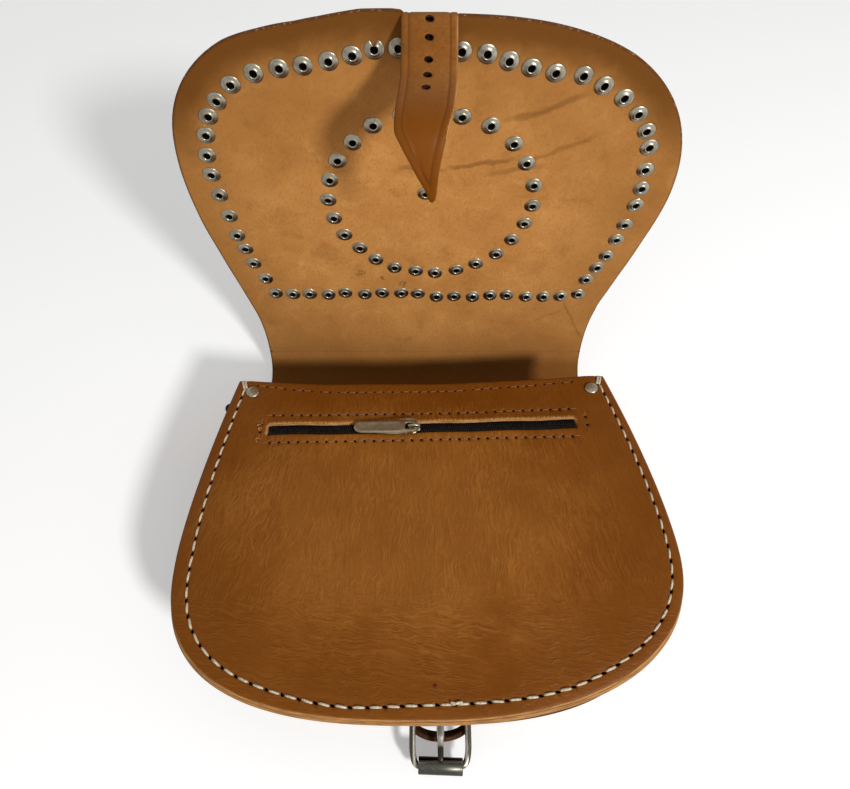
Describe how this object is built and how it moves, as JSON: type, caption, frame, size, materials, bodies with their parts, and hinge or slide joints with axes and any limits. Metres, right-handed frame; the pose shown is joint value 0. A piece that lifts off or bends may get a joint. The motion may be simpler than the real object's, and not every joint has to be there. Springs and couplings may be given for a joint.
{
  "type": "studded leather bag",
  "caption": "Saddle-shaped leather shoulder bag with an eyelet-studded flap, flap strap, roller buckle and front zip pocket.",
  "frame": {"origin": "on the outer face of the back panel, at the middle of the front panel's height and width", "axes": "+Z from the back panel towards the front panel, +Y towards the mouth and the flap's neck, +X to the right seen from the front"},
  "size_m": [0.264, 0.2768, 0.2549],
  "materials": {
    "grain_leather": "smooth tanned hide, lightly waxed and creased",
    "flesh_leather": "flesh side of the hide, matt and mottled",
    "dark_leather": "dark dyed hide",
    "lining_leather": "thin matt split leather",
    "waxed_thread": "waxed cord",
    "nickel": "worn nickel plating",
    "zip_cloth": "black woven tape",
    "zip_nylon": "black moulded coil"
  },
  "bodies": {
    "bag": {"back_panel": "grain_leather", "back_seam_thread": "waxed_thread", "buckle_tab": "dark_leather", "buckle_tab_rivet_lower": "nickel", "buckle_tab_rivet_upper": "nickel", "corner_rivet_left": "nickel", "corner_rivet_right": "nickel", "front_panel": "grain_leather", "front_seam_thread": "waxed_thread", "gusset": "dark_leather", "mouth_facing": "lining_leather", "side_tab_left": "dark_leather", "side_tab_right": "dark_leather", "side_tab_rivet_left": "nickel", "side_tab_rivet_right": "nickel", "strap_keeper": "dark_leather", "zip_coil_lower": "zip_nylon", "zip_coil_upper": "zip_nylon", "zip_pocket_pouch": "lining_leather", "zip_tape_lower": "zip_cloth", "zip_tape_upper": "zip_cloth"},
    "neck": {"flap_neck": "flesh_leather"},
    "flap": {"flap_panel": "flesh_leather", "strap_anchor": "grain_leather"},
    "strap": {"flap_strap": "grain_leather"},
    "slider": {"zip_slider": "nickel"},
    "puller": {"zip_puller": "nickel"},
    "frame": {"buckle_frame": "nickel"},
    "tongue": {"buckle_tongue": "nickel"},
    "roller": {"buckle_roller": "nickel"},
    "ring_left": {"side_ring_left": "nickel"},
    "ring_right": {"side_ring_right": "nickel"}
  },
  "joints": [
    {"name": "neck_fold", "type": "hinge", "parent": "bag", "child": "neck", "pos_m": [0, 0.09315, 0.0022], "axis": [1, 0, 0], "range_deg": [0, 38.4]},
    {"name": "flap_fold", "type": "hinge", "parent": "neck", "child": "flap", "pos_m": [0, 0.15205, 0.04075], "axis": [1, 0, 0], "range_deg": [-88, 53.7]},
    {"name": "strap_fold", "type": "hinge", "parent": "flap", "child": "strap", "pos_m": [0.002, 0.16122, 0.25251], "axis": [-1, 0, 0], "range_deg": [-24, 90]},
    {"name": "zip_slide", "type": "slide", "parent": "bag", "child": "slider", "axis": [0.9997, 0.0244, 0], "range_m": [-0.0804, 0.0904]},
    {"name": "puller_lift", "type": "hinge", "parent": "slider", "child": "puller", "pos_m": [-0.006, 0.0613, 0.0639], "axis": [0.0244, -0.9997, 0], "range_deg": [-150, 0]},
    {"name": "buckle_lift", "type": "hinge", "parent": "bag", "child": "frame", "pos_m": [0.008, -0.084, 0.0136], "axis": [1, 0, 0], "range_deg": [-58, 0]},
    {"name": "tongue_lift", "type": "hinge", "parent": "frame", "child": "tongue", "pos_m": [0.008, -0.084, 0.0136], "axis": [-1, 0, 0], "range_deg": [0, 78]},
    {"name": "roller_spin", "type": "hinge", "parent": "frame", "child": "roller", "pos_m": [0.008, -0.10895, 0.01009], "axis": [1, 0, 0], "continuous": true},
    {"name": "ring_left_swing", "type": "hinge", "parent": "bag", "child": "ring_left", "pos_m": [-0.12441, 0.0895, 0.031], "axis": [0, 0, -1], "range_deg": [-285, 18]},
    {"name": "ring_right_swing", "type": "hinge", "parent": "bag", "child": "ring_right", "pos_m": [0.10991, 0.0895, 0.031], "axis": [0, 0, -1], "range_deg": [-212, 6]}
  ]
}
